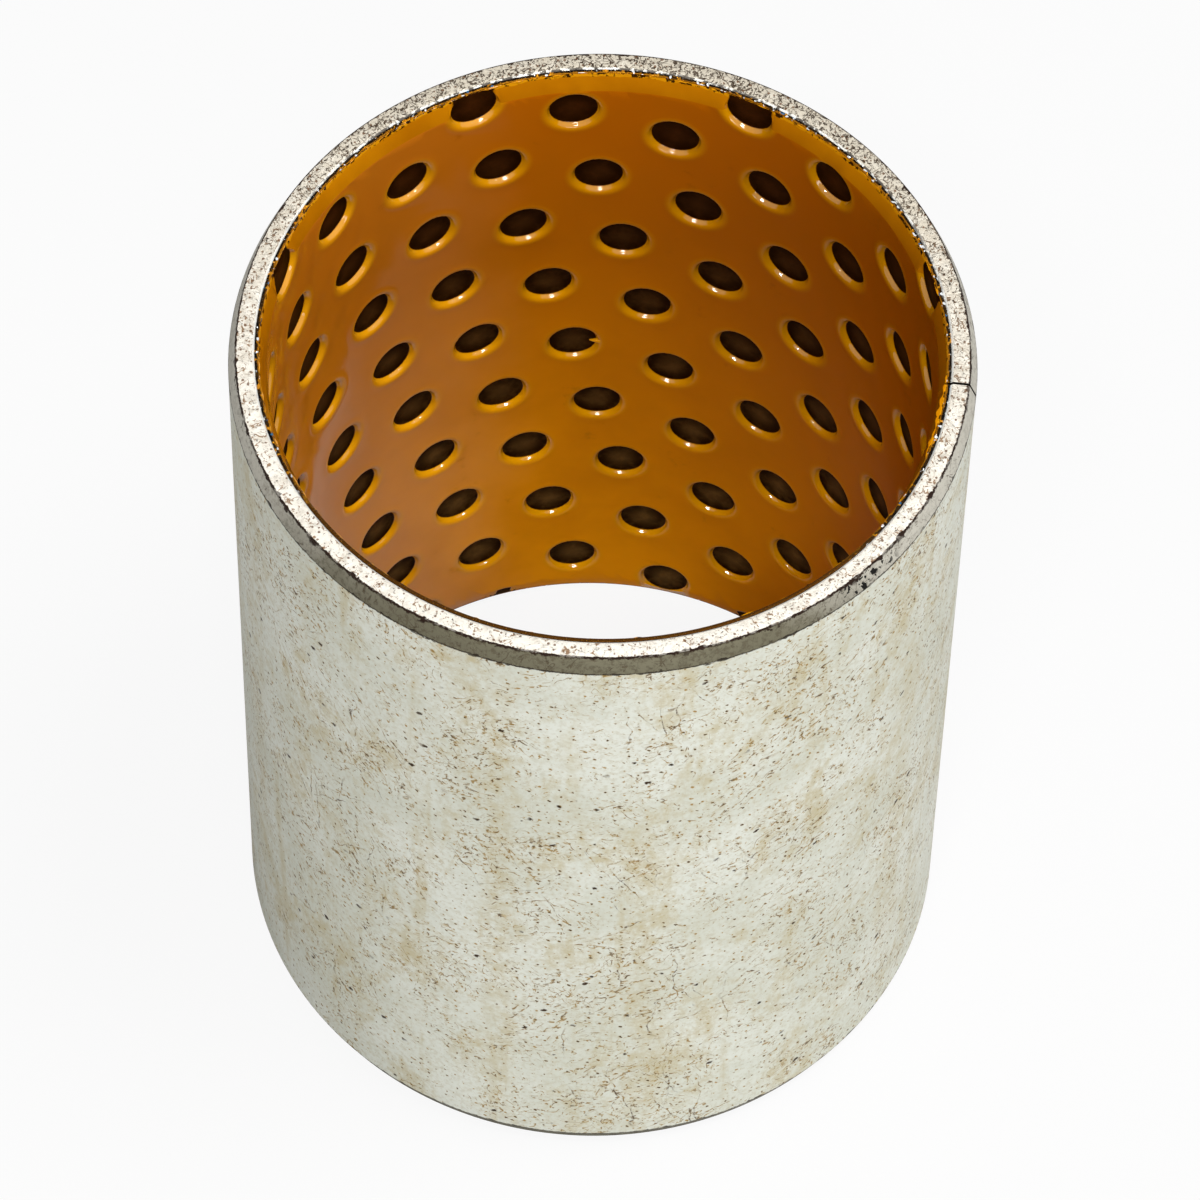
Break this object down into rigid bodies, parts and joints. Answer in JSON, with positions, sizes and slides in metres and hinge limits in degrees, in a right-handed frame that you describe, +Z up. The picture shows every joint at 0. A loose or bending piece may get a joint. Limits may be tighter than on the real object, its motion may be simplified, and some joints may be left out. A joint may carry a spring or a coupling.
{
  "type": "wrapped acetal-lined steel bush",
  "caption": "Rolled steel bush with a butt joint, a thin bronze layer and an amber acetal liner pressed with round grease indents.",
  "frame": {"origin": "centre of the lower end face, on the axis of the bush, which is the bottom centre of its bounding box", "axes": "+Z up along the axis, from the lower end to the upper end; +X through the butt joint of the wall; +Y completes the right-handed frame"},
  "size_m": [0.039, 0.039, 0.05],
  "materials": {
    "tinned_steel": "tin-plated mild steel, dull and finely scratched, turned bare on both ends",
    "sintered_bronze": "porous sintered bronze, dark with small bright grains",
    "acetal": "glossy amber acetal, darker in the indents"
  },
  "bodies": {
    "root": {"steel_backing": "tinned_steel", "bronze_layer": "sintered_bronze", "acetal_liner": "acetal"}
  },
  "joints": []
}
